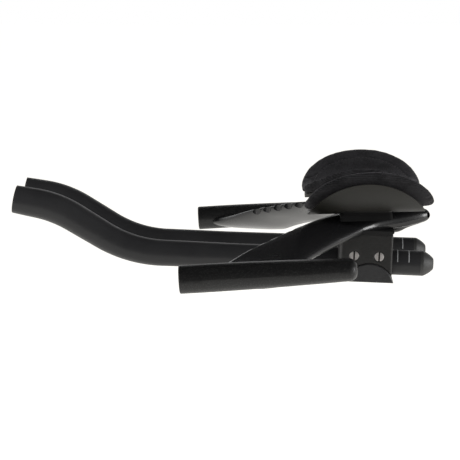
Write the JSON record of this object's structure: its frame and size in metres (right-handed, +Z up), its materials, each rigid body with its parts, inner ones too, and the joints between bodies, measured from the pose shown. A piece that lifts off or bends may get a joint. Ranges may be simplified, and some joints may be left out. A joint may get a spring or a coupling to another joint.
{
  "type": "aero handlebar",
  "caption": "Black aero handlebar: a moulded base bar with forward grips, S-bend extensions sliding in clamps beneath it, and padded arm cups on top.",
  "frame": {"origin": "centre of the round stem clamp section of the base bar", "axes": "+X forward, +Y to the rider's left along the stem clamp axis, +Z up"},
  "size_m": [0.3746, 0.4254, 0.1008],
  "materials": {
    "satin_black": "satin",
    "tube_black": "satin, bead-blasted",
    "plug_black": "matte",
    "clamp_grey": "anodised, brushed",
    "cap_grey": "anodised",
    "black_steel": "black oxide",
    "stainless": "turned",
    "shim_black": "matte",
    "riser_black": "matte",
    "cup_grey": "moulded, matte",
    "hook_tape": "hook tape",
    "pad_fabric": "fine knit over foam"
  },
  "bodies": {
    "base": {"base_bar": "satin_black", "left_clamp_body": "clamp_grey", "right_clamp_body": "clamp_grey", "left_clamp_cap": "cap_grey", "right_clamp_cap": "cap_grey", "left_cap_bolts": "black_steel", "right_cap_bolts": "black_steel", "left_barrel_nuts": "stainless", "right_barrel_nuts": "stainless", "left_saddle_shim": "shim_black", "right_saddle_shim": "shim_black", "left_riser": "riser_black", "right_riser": "riser_black", "left_arm_cup": "cup_grey", "right_arm_cup": "cup_grey", "left_cup_bolts": "black_steel", "right_cup_bolts": "black_steel", "left_hook_patches": "hook_tape", "right_hook_patches": "hook_tape", "left_arm_pad": "pad_fabric", "right_arm_pad": "pad_fabric"},
    "left_tube": {"left_extension": "tube_black", "left_end_plug": "plug_black"},
    "right_tube": {"right_extension": "tube_black", "right_end_plug": "plug_black"}
  },
  "joints": [
    {"name": "left_extension_slide", "type": "slide", "parent": "base", "child": "left_tube", "axis": [0.9991, -0.0249, 0.0344], "range_m": [-0.04, 0.02]},
    {"name": "right_extension_slide", "type": "slide", "parent": "base", "child": "right_tube", "axis": [0.9991, 0.0249, 0.0344], "range_m": [-0.04, 0.02]}
  ]
}
